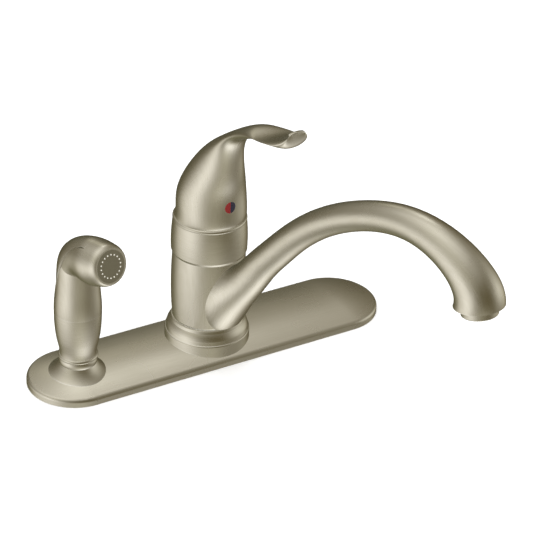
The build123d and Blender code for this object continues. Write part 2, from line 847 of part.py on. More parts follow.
with BuildPart() as handle:
    add(handle_outer)
    add(handle_cavity.part, mode=Mode.SUBTRACT)
    with BuildSketch(Plane.XY.offset(skirt_bottom - handle_wall)):
        Circle(post_radius + fit_gap)
    extrude(amount=bridge_top + post_height + handle_wall - skirt_bottom + 1, mode=Mode.SUBTRACT)
    with BuildSketch(on(handle_place, front)):
        with Locations((0, button_height)):
            Circle(screw_radius + fit_gap)
    extrude(amount=2 * skirt_radius, mode=Mode.SUBTRACT)
    with BuildSketch(on(handle_place, front).offset(front_wall - button_depth)):
        with Locations((0, button_height)):
            Circle(button_radius + fit_gap)
    extrude(amount=2 * button_radius, mode=Mode.SUBTRACT)
    with BuildSketch(on(handle_place, side)):
        with BuildLine():
            Polyline(
                (hinge_reach, skirt_bottom),
                (-2 * skirt_radius, skirt_bottom),
                (-2 * skirt_radius, skirt_bottom + (2 * skirt_radius + hinge_reach) * tan(radians(lift_angle))),
                close=True,
            )
        make_face()
    extrude(amount=skirt_radius, both=True, mode=Mode.SUBTRACT)
handle.part.label = "handle"
export_step(handle.part, "parts/handle.step")

with BuildPart() as index_button:
    with BuildSketch(on(handle_place, front).offset(front_wall - button_depth)):
        with Locations((0, button_height)):
            Circle(button_radius)
    extrude(amount=2 * button_radius)
    add(handle_outer, mode=Mode.INTERSECT)
index_button.part.label = "index_button"
export_step(index_button.part, "parts/index_button.step")

with BuildPart() as handle_screw:
    with BuildSketch(on(handle_place, front).offset(post_radius)):
        with Locations((0, button_height)):
            Circle(screw_radius)
            RegularPolygon(0.55 * screw_radius, 6, mode=Mode.SUBTRACT)
    extrude(amount=screw_length)
    with BuildSketch(on(handle_place, front).offset(post_radius)):
        with Locations((0, button_height)):
            Circle(screw_radius)
    extrude(amount=screw_length / 2)
handle_screw.part.label = "handle_screw"
export_step(handle_screw.part, "parts/handle_screw.step")

# Spray holder: flange, neck, collar and shank, one tube
with BuildPart() as spray_holder:
    with BuildSketch(on(spray_place, Plane.XZ)):
        with BuildLine():
            Polyline(
                (holder_bore, collar_top),
                (holder_bore, -holder_shank_length),
                (holder_shank_radius, -holder_shank_length),
                (holder_shank_radius, plate_rim),
                (holder_flange[0][0], plate_rim),
                holder_flange[0],
            )
            Spline(*holder_flange, (holder_neck_radius, holder_neck_height))
            ThreePointArc(
                (holder_neck_radius, holder_neck_height),
                (lower_bead_radius, (holder_neck_height + groove_height) / 2),
                (groove_radius, groove_height),
            )
            ThreePointArc(
                (groove_radius, groove_height),
                (collar_radius, (groove_height + collar_top) / 2),
                (groove_radius, collar_top),
            )
            Line((groove_radius, collar_top), (holder_bore, collar_top))
        make_face()
    revolve(axis=Axis(spray_place.position, (0, 0, 1)))
    add(plate_outer, mode=Mode.SUBTRACT)
    with BuildSketch(Plane.XY.offset(-holder_shank_length)):
        with Locations((-hole_spacing, 0)):
            Circle(holder_shank_radius)
            Circle(holder_bore, mode=Mode.SUBTRACT)
    extrude(amount=holder_shank_length + plate_crown)
spray_holder.part.label = "spray_holder"
export_step(spray_holder.part, "parts/spray_holder.step")

# Coupling at the end of the spray's hose, on which the spray turns
coupling_top = collar_top - spigot_depth + coupling_grip

with BuildPart() as hose_coupling:
    with BuildSketch(Plane.XY.offset(coupling_top)):
        with Locations((-hole_spacing, 0)):
            Circle(coupling_radius)
    extrude(amount=-coupling_length)
    with BuildSketch(Plane.XY.offset(coupling_top - coupling_length)):
        with Locations((-hole_spacing, 0)):
            Circle(barb_radius)
    extrude(amount=-barb_length, taper=3)
    with BuildSketch(Plane.XY.offset(coupling_top)):
        with Locations((-hole_spacing, 0)):
            Circle(barb_radius - 2.5)
    extrude(amount=-coupling_length - barb_length, mode=Mode.SUBTRACT)
hose_coupling.part.label = "hose_coupling"
export_step(hose_coupling.part, "parts/hose_coupling.step")

# Spray grip: spigot in the holder and a swelling body up to its seam with the head
with BuildPart() as spray_grip:
    with BuildSketch(on(spray_place, Plane.XZ)):
        with BuildLine():
            Spline((grip_foot_radius, collar_top), *grip_profile, (seam_radius, grip_seam))
            Polyline(
                (seam_radius, grip_seam),
                (coupling_radius + fit_gap, grip_seam),
                (coupling_radius + fit_gap, collar_top - spigot_depth),
                (holder_bore - running_gap, collar_top - spigot_depth),
                (holder_bore - running_gap, collar_top),
                (grip_foot_radius, collar_top),
            )
        make_face()
    revolve(axis=Axis(spray_place.position, (0, 0, 1)))
    with BuildSketch(Plane.XY.offset(grip_seam)):
        with Locations((-hole_spacing, 0)):
            Circle(head_spigot_radius + fit_gap)
    extrude(amount=-head_spigot, mode=Mode.SUBTRACT)
    with BuildSketch(Plane.XY.offset(coupling_top)):
        with Locations((-hole_spacing, 0)):
            Circle(coupling_radius + fit_gap)
            Circle(waterway_radius + 1.5, mode=Mode.SUBTRACT)
    extrude(amount=grip_stop)
spray_grip.part.label = "spray_grip"
export_step(spray_grip.part, "parts/spray_grip.step")


def swung(angle):
    """The spray's place turned about the lever's pin, positive as the lever is pressed."""
    pin = Location((0, -lever_pin_reach, lever_pin_height))
    return spray_place * pin * Location((0, 0, 0), (-angle, 0, 0)) * pin.inverse()


def bend_solid(place, radius, bottom, length):
    """Round bar up the spray's axis from bottom, round the elbow and along the nozzle."""
    centre = on(place, Plane(origin=(0, -elbow_radius, elbow_height), x_dir=(1, 0, 0), z_dir=(0, -1, 0)))
    with BuildPart() as bend:
        with BuildSketch(station(place, 0, elbow_height, 0)):
            Circle(radius)
        extrude(amount=bottom - elbow_height)
        with BuildSketch(station(place, 0, elbow_height, 0)):
            Circle(radius)
        revolve(axis=Axis(centre.origin, centre.x_dir), revolution_arc=elbow_turn)
        with BuildSketch(nozzle_plane(place)):
            Circle(radius)
        extrude(amount=length)
    return bend.part


def nozzle_plane(place):
    """Section where the elbow ends and the straight nozzle starts, normal along the nozzle."""
    reach = elbow_radius * (1 - cos(radians(elbow_turn)))
    height = elbow_height + elbow_radius * sin(radians(elbow_turn))
    return station(place, reach, height, elbow_turn)


def lofted(place, rows, turns):
    """Loft up the spray's axis, round the elbow and along the nozzle to its face."""
    stations = [(station(place, 0, height, 0), (radius, radius, radius)) for height, radius in rows]
    for turn, *depths in turns:
        reach = elbow_radius * (1 - cos(radians(turn)))
        height = elbow_height + elbow_radius * sin(radians(turn))
        stations.append((station(place, reach, height, turn), tuple(depths)))
    stations.append((nozzle_plane(place), nozzle_root))
    for along, radius in nozzle_sections:
        stations.append((nozzle_plane(place).offset(along), (radius, radius, radius)))
    with BuildPart() as shape:
        for plane, (half_width, back, front_depth) in stations:
            with BuildSketch(plane):
                with BuildLine():
                    oval(half_width, back, front_depth)
                make_face()
        loft()
    return shape.part


def lever_zone(place, margin):
    """All that lies behind and above the lever's edge line, as a wide block."""
    line = [(reach + margin, height - 2 * margin) for reach, height in lever_edge]
    heel_point = (lever_heel[0] + margin, lever_heel[1] - 2 * margin)
    top = 2 * lever_pin_height
    back = 2 * lever_heel[0]
    with BuildPart() as zone:
        with BuildSketch(on(place, side)):
            with BuildLine():
                Spline(*line)
                Polyline(line[-1], (line[-1][0], top), (back, top), (back, heel_point[1]), heel_point, line[0])
            make_face()
        extrude(amount=2 * elbow_radius, both=True)
    return zone.part


# Thumb lever: a shell over the back of the elbow, hung on a pin near the crown
rest = swung(-lever_stand)

with BuildPart() as spray_lever:
    add(lofted(rest, skin_sections, [(turn, radius, radius, radius) for turn, radius in skin_turns]))
    add(bend_solid(rest, lever_inner, collar_top, 2 * nozzle_length), mode=Mode.SUBTRACT)
    add(lever_zone(spray_place, 0), mode=Mode.INTERSECT)
    with BuildSketch(on(spray_place, side)):
        with Locations((lever_pin_reach, lever_pin_height)):
            Circle(lug_radius)
        with Locations((lever_pin_reach, lever_pin_height + lug_radius)):
            Rectangle(2 * lug_radius, 2 * lug_radius)
    extrude(amount=lug_half, both=True)
    with BuildSketch(on(spray_place, side)):
        with Locations((lever_pin_reach, lever_pin_height)):
            Circle(lever_pin_radius + fit_gap)
    extrude(amount=2 * lug_half, both=True, mode=Mode.SUBTRACT)
spray_lever.part.label = "spray_lever"
export_step(spray_lever.part, "parts/spray_lever.step")

with BuildPart() as spray_lever_pin:
    with BuildSketch(on(spray_place, side)):
        with Locations((lever_pin_reach, lever_pin_height)):
            Circle(lever_pin_radius)
    extrude(amount=lever_pin_half, both=True)
spray_lever_pin.part.label = "spray_lever_pin"
export_step(spray_lever_pin.part, "parts/spray_lever_pin.step")

# Spray head: body, elbow and nozzle, hollow, with a channel under the lever
nozzle = nozzle_plane(spray_place)
face_floor = nozzle_length - face_thickness
seal_floor = face_floor - face_seal_thickness
valve_floor = valve_seat + valve_thickness + spring_turns * spring_pitch + 3 * spring_wire + valve_travel

channel_inner = lever_inner - 2 * running_gap

with BuildPart() as lever_channel:
    add(lever_zone(swung(press_angle), running_gap))
    add(bend_solid(swung(press_angle - lever_stand), channel_inner, 0, 2 * nozzle_length), mode=Mode.SUBTRACT)

with BuildPart() as spray_head:
    with BuildSketch(on(spray_place, Plane.XZ)):
        with BuildLine():
            Spline((seam_radius, grip_seam), *head_profile, (dome_radius, dome_height))
            Polyline((dome_radius, dome_height), (0, dome_height), (0, grip_seam), (seam_radius, grip_seam))
        make_face()
    revolve(axis=Axis(spray_place.position, (0, 0, 1)))
    add(lofted(spray_place, core_sections, elbow_sections))
    add(lever_channel.part, mode=Mode.SUBTRACT)
    with BuildSketch(Plane.XY.offset(grip_seam)):
        with Locations((-hole_spacing, 0)):
            Circle(head_spigot_radius)
    extrude(amount=-head_spigot)
    with BuildSketch(on(spray_place, side)):
        with Locations((lever_pin_reach, lever_pin_height)):
            Circle(lug_radius + running_gap)
        with Locations((lever_pin_reach, lever_pin_height + elbow_radius)):
            Rectangle(2 * (lug_radius + 2 * running_gap), 2 * elbow_radius)
    extrude(amount=lug_half + running_gap, both=True, mode=Mode.SUBTRACT)
    with BuildSketch(on(spray_place, side)):
        with Locations((lever_pin_reach, lever_pin_height)):
            Circle(lever_pin_radius)
    extrude(amount=lever_pin_half, both=True, mode=Mode.SUBTRACT)
    add(bend_solid(spray_place, waterway_radius, collar_top, nozzle_length - 1), mode=Mode.SUBTRACT)
    with BuildSketch(nozzle.offset(face_floor)):
        Circle(face_radius + fit_gap)
    extrude(amount=face_thickness, mode=Mode.SUBTRACT)
    with BuildSketch(nozzle.offset(seal_floor)):
        Circle(face_radius - 0.5)
    extrude(amount=face_seal_thickness, mode=Mode.SUBTRACT)
    with BuildSketch(nozzle.offset(seal_floor)):
        Circle(chamber_radius)
    extrude(amount=-chamber_depth, mode=Mode.SUBTRACT)
    with BuildSketch(on(spray_place, front).offset(valve_seat)):
        with Locations((0, valve_height)):
            Circle(valve_radius + fit_gap)
    extrude(amount=valve_floor - valve_seat, mode=Mode.SUBTRACT)
    with BuildSketch(on(spray_place, front).offset(valve_seat)):
        with Locations((0, valve_height)):
            Circle(plunger_radius + fit_gap)
    extrude(amount=-2 * elbow_radius, mode=Mode.SUBTRACT)
spray_head.part.label = "spray_head"
export_step(spray_head.part, "parts/spray_head.step")

# Spray face with its ring of holes, and the seal behind it
with BuildPart() as spray_face:
    with BuildSketch(nozzle.offset(face_floor)):
        Circle(face_radius)
        with PolarLocations(face_hole_circle, face_holes):
            Circle(face_hole_radius, mode=Mode.SUBTRACT)
    extrude(amount=face_thickness)
spray_face.part.label = "spray_face"
export_step(spray_face.part, "parts/spray_face.step")

with BuildPart() as face_seal:
    with BuildSketch(nozzle.offset(seal_floor)):
        Circle(face_radius - 0.5 - fit_gap)
        Circle(chamber_radius, mode=Mode.SUBTRACT)
    extrude(amount=face_seal_thickness)
face_seal.part.label = "face_seal"
export_step(face_seal.part, "parts/face_seal.step")

# Valve of the spray: plunger pressed by the lever, its head on a seat, a spring in front
lever_swing = (lever_pin_height - valve_height) * sin(radians(lever_stand))
plunger_back = sqrt(lever_inner**2 - plunger_radius**2) + lever_swing - 2 * fit_gap

with BuildPart() as spray_valve:
    with BuildSketch(on(spray_place, front).offset(-plunger_back)):
        with Locations((0, valve_height)):
            Circle(plunger_radius)
    extrude(amount=plunger_back + valve_seat)
    with BuildSketch(on(spray_place, front).offset(valve_seat)):
        with Locations((0, valve_height)):
            Circle(valve_radius)
    extrude(amount=valve_thickness)
spray_valve.part.label = "spray_valve"
export_step(spray_valve.part, "parts/spray_valve.step")

spring_seat = on(spray_place, front).offset(valve_seat + valve_thickness + 2 * spring_wire)
with BuildPart() as spray_spring:
    with BuildLine() as coil:
        Helix(
            spring_pitch,
            spring_turns * spring_pitch,
            spring_radius,
            center=spring_seat.from_local_coords((0, valve_height, 0)),
            direction=spring_seat.z_dir,
        )
    with BuildSketch(Plane(origin=coil.line @ 0, z_dir=coil.line % 0)):
        Circle(spring_wire)
    sweep(path=coil.line)
spray_spring.part.label = "spray_spring"
export_step(spray_spring.part, "parts/spray_spring.step")

# Washers and nuts that clamp body and holder from below the deck
hardware = (
    ("shank_washer", "shank_nut", 0.0, shank_radius, washer_radius, shank_nut_radius),
    ("holder_washer", "holder_nut", -hole_spacing, holder_shank_radius, holder_nut_radius, holder_nut_radius),
)

for washer_name, nut_name, reach, thread, washer_outer, nut_outer in hardware:
    with BuildPart() as washer:
        with BuildSketch(Plane.XY.offset(-deck_thickness)):
            with Locations((reach, 0)):
                Circle(washer_outer)
                Circle(thread + running_gap, mode=Mode.SUBTRACT)
        extrude(amount=-washer_thickness)
    washer.part.label = washer_name
    export_step(washer.part, f"parts/{washer_name}.step")
    with BuildPart() as nut:
        with BuildSketch(Plane.XY.offset(-deck_thickness - washer_thickness)):
            with Locations((reach, 0)):
                RegularPolygon(nut_outer, 6)
                Circle(thread + fit_gap, mode=Mode.SUBTRACT)
        extrude(amount=-nut_thickness)
        chamfer(faces().sort_by(Axis.Z)[0].outer_wire().edges(), length=1.0)
    nut.part.label = nut_name
    export_step(nut.part, f"parts/{nut_name}.step")


def nipple(angle):
    """Pipe seated in a passage of the shank, open at both ends."""
    spot = (passage_circle * cos(radians(angle)), passage_circle * sin(radians(angle)))
    with BuildPart() as pipe:
        with BuildSketch(Plane.XY.offset(supply_seat - shank_length)):
            with Locations(spot):
                Circle(supply_radius)
                Circle(supply_radius - supply_wall, mode=Mode.SUBTRACT)
        extrude(amount=-supply_seat - supply_length)
        with BuildSketch(Plane.XY.offset(-shank_length)):
            with Locations(spot):
                Circle(supply_collar_radius)
                Circle(supply_radius - supply_wall, mode=Mode.SUBTRACT)
        extrude(amount=-supply_collar)
    return pipe.part


# Hot and cold inlets, and the outlet to the spray's hose
with BuildPart() as inlet_nipples:
    for angle in (passage_angles[0], passage_angles[2]):
        add(nipple(angle))
inlet_nipples.part.label = "inlet_nipples"
export_step(inlet_nipples.part, "parts/inlet_nipples.step")

with BuildPart() as spray_outlet:
    add(nipple(passage_angles[1]))
spray_outlet.part.label = "spray_outlet"
export_step(spray_outlet.part, "parts/spray_outlet.step")
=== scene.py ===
"""A one-handle kitchen faucet with a side spray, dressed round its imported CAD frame.

The CAD nodes carry the shapes. This script gives each of them the finish of the real piece, adds the small
forms that the solids leave out, and stands the faucet on a pale counter under soft studio light.
"""

import logging
import math
from dataclasses import dataclass, field
from enum import Enum

import bmesh
import bpy
from mathutils import Euler, Matrix, Vector


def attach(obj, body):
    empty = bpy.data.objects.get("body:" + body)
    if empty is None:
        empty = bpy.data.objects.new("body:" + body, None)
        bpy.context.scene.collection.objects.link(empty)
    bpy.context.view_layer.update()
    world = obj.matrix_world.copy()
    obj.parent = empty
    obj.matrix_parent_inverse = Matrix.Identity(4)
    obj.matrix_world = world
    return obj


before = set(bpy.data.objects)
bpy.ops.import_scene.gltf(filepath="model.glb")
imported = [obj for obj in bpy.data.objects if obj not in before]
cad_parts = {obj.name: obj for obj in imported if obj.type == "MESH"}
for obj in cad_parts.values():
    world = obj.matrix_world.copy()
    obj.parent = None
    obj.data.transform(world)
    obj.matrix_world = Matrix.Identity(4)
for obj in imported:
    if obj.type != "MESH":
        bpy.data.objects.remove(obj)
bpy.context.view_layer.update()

LOG = logging.getLogger("faucet")
MM = 0.001
HOLE_SPACING = 101.6
SPOUT_HEADING = 15.0
HANDLE_HEADING = 3.0
SPRAY_HEADING = 11.0


class Finish(Enum):
    """Finishes of the faucet's pieces."""

    PLATE = "plate"
    TURNED = "turned"
    SPOUT = "spout"
    HANDLE = "handle"
    SPRAY = "spray"
    FACE = "face"
    BRASS = "brass"
    TUBE = "tube"
    STEEL = "steel"
    ACETAL = "acetal"
    BLACK = "black"
    GREY = "grey"
    TIPS = "tips"
    RUBBER = "rubber"
    INDEX = "index"


def linear(hex_colour: str) -> tuple[float, float, float, float]:
    """Turns an sRGB hex colour into linear RGBA.

    Args:
        hex_colour: Six hex digits with a leading hash.

    Returns:
        Linear red, green, blue and an alpha of one.
    """
    parts = [int(hex_colour[i : i + 2], 16) / 255 for i in (1, 3, 5)]
    red, green, blue = (p / 12.92 if p <= 0.04045 else ((p + 0.055) / 1.055) ** 2.4 for p in parts)
    return (red, green, blue, 1.0)


def add_node(
    tree: bpy.types.NodeTree,
    kind: str,
    settings: dict[str, object] | None = None,
    inputs: dict[str | int, object] | None = None,
) -> bpy.types.Node:
    """Adds one node with its settings and its links.

    Args:
        tree: Node tree that takes the node.
        kind: Blender's class name of the node.
        settings: Attributes of the node by name.
        inputs: Values by socket name or number; an output socket there is linked.

    Returns:
        The new node.
    """
    node = tree.nodes.new(kind)
    for name, value in (settings or {}).items():
        setattr(node, name, value)
    for key, value in (inputs or {}).items():
        if isinstance(value, bpy.types.NodeSocket):
            tree.links.new(value, node.inputs[key])
        else:
            node.inputs[key].default_value = value
    return node


def new_material(name: str) -> tuple[bpy.types.Material, bpy.types.NodeTree, bpy.types.Node]:
    """Makes a material that holds one Principled shader.

    Args:
        name: What the material is.

    Returns:
        The material, its node tree and its shader.
    """
    material = bpy.data.materials.new(name)
    material.use_nodes = True
    tree = material.node_tree
    tree.nodes.clear()
    shader = add_node(tree, "ShaderNodeBsdfPrincipled")
    add_node(tree, "ShaderNodeOutputMaterial", inputs={"Surface": shader.outputs[0]})
    return material, tree, shader


@dataclass(frozen=True)
class Grain:
    """How far one streak or speck of a surface runs along each axis, and how the axes are turned."""

    along: tuple[float, float, float]
    turn: float = 0.0

    def coordinates(self, tree: bpy.types.NodeTree) -> bpy.types.NodeSocket:
        """Object coordinates in which one streak is one unit long each way.

        Args:
            tree: Node tree of the material.

        Returns:
            The vector socket.
        """
        place = add_node(tree, "ShaderNodeTexCoord").outputs["Object"]
        turned = add_node(
            tree,
            "ShaderNodeVectorRotate",
            {"rotation_type": "Z_AXIS"},
            {"Vector": place, "Angle": -math.radians(self.turn)},
        ).outputs[0]
        scale = tuple(1 / (length * MM) for length in self.along)
        return add_node(
            tree, "ShaderNodeVectorMath", {"operation": "MULTIPLY"}, {0: turned, 1: scale}
        ).outputs[0]


def noise(tree: bpy.types.NodeTree, grain: Grain, detail: float = 2.0) -> bpy.types.NodeSocket:
    """Noise whose specks have a grain's real size.

    Args:
        tree: Node tree of the material.
        grain: Size of the specks.
        detail: Octaves of finer noise.

    Returns:
        The noise's value socket, about 0.3 to 0.7.
    """
    spots = add_node(
        tree,
        "ShaderNodeTexNoise",
        inputs={"Vector": grain.coordinates(tree), "Scale": 1.0, "Detail": detail},
    )
    return spots.outputs[0]


def ramp(
    tree: bpy.types.NodeTree,
    value: bpy.types.NodeSocket,
    source: tuple[float, float],
    target: tuple[float, float],
) -> bpy.types.NodeSocket:
    """Maps one range of a value to another and clamps it.

    Args:
        tree: Node tree of the material.
        value: Socket to map.
        source: Range of the value.
        target: Range of the result.

    Returns:
        The result's socket.
    """
    return add_node(
        tree,
        "ShaderNodeMapRange",
        inputs={0: value, 1: source[0], 2: source[1], 3: target[0], 4: target[1]},
    ).outputs[0]


def blend(
    tree: bpy.types.NodeTree, factor: bpy.types.NodeSocket, low: object, high: object
) -> bpy.types.NodeSocket:
    """Mixes two colours by a factor.

    Args:
        tree: Node tree of the material.
        factor: Share of the second colour.
        low: First colour, or a socket.
        high: Second colour, or a socket.

    Returns:
        The mixed colour's socket.
    """
    return add_node(
        tree, "ShaderNodeMix", {"data_type": "RGBA"}, {0: factor, 6: low, 7: high}
    ).outputs[2]


def edge_wear(tree: bpy.types.NodeTree, reach: float) -> bpy.types.NodeSocket:
    """Share of an edge's rub at a point: one on a sharp edge and none on a face.

    Args:
        tree: Node tree of the material.
        reach: How far from an edge the rub reaches, in millimetres.

    Returns:
        The rub's socket.
    """
    rounded = add_node(tree, "ShaderNodeBevel", {"samples": 4}, {"Radius": reach * MM}).outputs[0]
    plain = add_node(tree, "ShaderNodeNewGeometry").outputs["Normal"]
    match = add_node(
        tree, "ShaderNodeVectorMath", {"operation": "DOT_PRODUCT"}, {0: rounded, 1: plain}
    ).outputs["Value"]
    return ramp(tree, match, (0.995, 0.85), (0.0, 1.0))


def bump(
    tree: bpy.types.NodeTree, height: bpy.types.NodeSocket, depth: float
) -> bpy.types.NodeSocket:
    """Surface relief from a height.

    Args:
        tree: Node tree of the material.
        height: Height from nought to one.
        depth: Real depth of the relief, in millimetres.

    Returns:
        The normal's socket.
    """
    return add_node(
        tree, "ShaderNodeBump", inputs={"Height": height, "Distance": depth * MM, "Strength": 1.0}
    ).outputs[0]


@dataclass(frozen=True)
class SatinNickel:
    """Nickel plate over brass or zinc, brushed satin and lacquered.

    The brushing spreads every reflection into a soft band, and the warm grey is the metal's own colour.
    """

    colour: str = "#C3BCAA"
    streak_colour: str = "#C8C1B0"
    rubbed: str = "#D4CFC2"
    edge_tint: str = "#B9B19D"
    roughness: float = 0.27
    smudge: Grain = Grain((34.0, 34.0, 34.0))
    relief: float = 0.0008
    rub_reach: float = 0.7

    def material(self, name: str, streak: Grain) -> bpy.types.Material:
        """Builds the finish for one way of brushing.

        Args:
            name: The material's name.
            streak: Size and direction of the brush's streaks. They are coarser than the real 0.1 mm,
                which is too fine to show.

        Returns:
            The material.
        """
        material, tree, shader = new_material(name)
        streaks = noise(tree, streak)
        smudges = noise(tree, self.smudge, 3.0)
        rub = edge_wear(tree, self.rub_reach)
        share = ramp(tree, streaks, (0.35, 0.65), (0.0, 1.0))
        brushed = blend(tree, share, linear(self.colour), linear(self.streak_colour))
        coloured = blend(tree, rub, brushed, linear(self.rubbed))
        tree.links.new(coloured, shader.inputs["Base Color"])
        satin = ramp(tree, smudges, (0.3, 0.7), (self.roughness - 0.015, self.roughness + 0.025))
        polished = add_node(
            tree, "ShaderNodeMath", {"operation": "MULTIPLY_ADD"}, {0: rub, 1: -0.05, 2: satin}
        ).outputs[0]
        tree.links.new(polished, shader.inputs["Roughness"])
        tree.links.new(bump(tree, streaks, self.relief), shader.inputs["Normal"])
        shader.inputs["Metallic"].default_value = 1.0
        shader.inputs["Specular Tint"].default_value = linear(self.edge_tint)
        return material


@dataclass(frozen=True)
class TurnedMetal:
    """Bare metal from the lathe or the drawing bench, with fine rings left by the tool."""

    colour: str
    dark: str
    roughness: float
    ring: Grain = Grain((6.0, 6.0, 0.4))

    def material(self, name: str) -> bpy.types.Material:
        """Builds the finish.

        Args:
            name: The material's name.

        Returns:
            The material.
        """
        material, tree, shader = new_material(name)
        rings = noise(tree, self.ring, 3.0)
        stain = noise(tree, Grain((12.0, 12.0, 12.0)), 4.0)
        stained = ramp(tree, stain, (0.4, 0.75), (0.0, 0.7))
        tone = blend(tree, stained, linear(self.colour), linear(self.dark))
        tree.links.new(tone, shader.inputs["Base Color"])
        rough = ramp(tree, rings, (0.3, 0.7), (self.roughness - 0.05, self.roughness + 0.08))
        tree.links.new(rough, shader.inputs["Roughness"])
        tree.links.new(bump(tree, rings, 0.006), shader.inputs["Normal"])
        shader.inputs["Metallic"].default_value = 1.0
        return material


@dataclass(frozen=True)
class MouldedPolymer:
    """Plastic or rubber as it leaves its mould, with the mould's fine spark-eroded texture."""

    colour: str
    scuffed: str
    roughness: float
    ior: float
    texture: Grain = Grain((0.5, 0.5, 0.5))

    def material(self, name: str) -> bpy.types.Material:
        """Builds the finish.

        Args:
            name: The material's name.

        Returns:
            The material.
        """
        material, tree, shader = new_material(name)
        pits = noise(tree, self.texture, 3.0)
        haze = noise(tree, Grain((18.0, 18.0, 18.0)), 3.0)
        rub = edge_wear(tree, 0.5)
        hazed = ramp(tree, haze, (0.45, 0.8), (0.0, 0.5))
        tone = blend(tree, hazed, linear(self.colour), linear(self.scuffed))
        tree.links.new(blend(tree, rub, tone, linear(self.scuffed)), shader.inputs["Base Color"])
        rough = ramp(tree, haze, (0.3, 0.7), (self.roughness - 0.06, self.roughness + 0.08))
        tree.links.new(rough, shader.inputs["Roughness"])
        tree.links.new(bump(tree, pits, 0.01), shader.inputs["Normal"])
        shader.inputs["IOR"].default_value = self.ior
        return material


@dataclass(frozen=True)
class IndexEnamel:
    """Glossy printed enamel of the hot and cold mark: red on its left half and dark blue on its right."""

    hot: str = "#80161A"
    cold: str = "#1B1930"
    roughness: float = 0.16
    ior: float = 1.5

    def material(self, name: str, heading: float) -> bpy.types.Material:
        """Builds the mark's two halves.

        Args:
            name: The material's name.
            heading: The handle's heading in degrees, which turns the line between the halves.

        Returns:
            The material.
        """
        material, tree, shader = new_material(name)
        place = add_node(tree, "ShaderNodeTexCoord").outputs["Object"]
        across = (math.cos(math.radians(heading)), math.sin(math.radians(heading)), 0.0)
        side = add_node(
            tree, "ShaderNodeVectorMath", {"operation": "DOT_PRODUCT"}, {0: place, 1: across}
        ).outputs["Value"]
        half = ramp(tree, side, (-0.15 * MM, 0.15 * MM), (0.0, 1.0))
        specks = noise(tree, Grain((0.6, 0.6, 0.6)), 2.0)
        halves = blend(tree, half, linear(self.hot), linear(self.cold))
        dusty = blend(tree, ramp(tree, specks, (0.6, 0.9), (0.0, 0.25)), halves, linear("#5A4650"))
        tree.links.new(dusty, shader.inputs["Base Color"])
        tree.links.new(ramp(tree, specks, (0.3, 0.8), (self.roughness, 0.3)), shader.inputs["Roughness"])
        shader.inputs["IOR"].default_value = self.ior
        shader.inputs["Coat Weight"].default_value = 0.6
        shader.inputs["Coat Roughness"].default_value = 0.08
        return material


@dataclass
class Workshop:
    """Every finish of the faucet, built once."""

    nickel: SatinNickel = field(default_factory=SatinNickel)
    made: dict[Finish, bpy.types.Material] = field(default_factory=dict)

    def __post_init__(self) -> None:
        """Builds the finishes."""
        nickel = self.nickel
        steel = TurnedMetal("#B4B4B2", "#8F8E8A", 0.28)
        self.made = {
            Finish.PLATE: nickel.material("satin_nickel_along_plate", Grain((16.0, 0.4, 0.4))),
            Finish.TURNED: nickel.material("satin_nickel_turned", Grain((10.0, 10.0, 0.4))),
            Finish.SPOUT: nickel.material(
                "satin_nickel_along_spout", Grain((0.4, 12.0, 12.0), SPOUT_HEADING)
            ),
            Finish.HANDLE: nickel.material(
                "satin_nickel_along_handle", Grain((0.4, 9.0, 9.0), HANDLE_HEADING)
            ),
            Finish.SPRAY: nickel.material("satin_nickel_along_spray", Grain((0.4, 8.0, 8.0), SPRAY_HEADING)),
            Finish.FACE: SatinNickel("#98927F", "#9F9986", "#B4AE9C", "#8E8876", 0.34).material(
                "satin_nickel_spray_face", Grain((0.5, 0.5, 0.5))
            ),
            Finish.BRASS: TurnedMetal("#BC9A55", "#8E6E38", 0.26).material("turned_brass"),
            Finish.TUBE: TurnedMetal("#C08A63", "#8C5A40", 0.24).material("drawn_copper"),
            Finish.STEEL: steel.material("zinc_plated_steel"),
            Finish.ACETAL: MouldedPolymer("#E4E1D6", "#F1EFE8", 0.42, 1.48).material("moulded_acetal"),
            Finish.BLACK: MouldedPolymer("#232323", "#4A4A4A", 0.5, 1.5).material("moulded_black_nylon"),
            Finish.GREY: MouldedPolymer("#77756E", "#9A988F", 0.45, 1.5).material("moulded_grey_acetal"),
            Finish.TIPS: MouldedPolymer("#D8D3C4", "#EDEAE0", 0.45, 1.41).material("moulded_pale_silicone"),
            Finish.RUBBER: MouldedPolymer("#1E1E1D", "#3A3A38", 0.62, 1.52).material("moulded_seal_rubber"),
            Finish.INDEX: IndexEnamel().material("index_enamel", HANDLE_HEADING),
        }

    def dress(self, node: str, finish: Finish) -> None:
        """Gives a CAD node one of the finishes.

        The piece is left out of reflections, so that the metal mirrors the tent and no other piece.

        Args:
            node: The CAD node's name.
            finish: The finish.
        """
        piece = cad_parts[node]
        piece.visible_glossy = False
        piece.data.materials.clear()
        piece.data.materials.append(self.made[finish])


@dataclass
class Assembly:
    """A group of pieces, each with its finish."""

    finishes: dict[str, Finish]

    def build(self, shop: Workshop) -> list[str]:
        """Dresses the nodes.

        Args:
            shop: The finishes.

        Returns:
            Names of the pieces.
        """
        for node, finish in self.finishes.items():
            shop.dress(node, finish)
        return list(self.finishes)


@dataclass
class DeckAssembly(Assembly):
    """Deck plate with its base ring, and all that holds them to the deck."""

    finishes: dict[str, Finish] = field(
        default_factory=lambda: {
            "deck_plate": Finish.PLATE,
            "base_ring": Finish.TURNED,
            "underplate": Finish.BLACK,
            "deck_seal": Finish.RUBBER,
            "plate_stud": Finish.STEEL,
            "plate_stud_nut": Finish.ACETAL,
            "shank_washer": Finish.STEEL,
            "shank_nut": Finish.ACETAL,
            "holder_washer": Finish.STEEL,
            "holder_nut": Finish.ACETAL,
            "inlet_nipples": Finish.TUBE,
            "spray_outlet": Finish.TUBE,
        }
    )


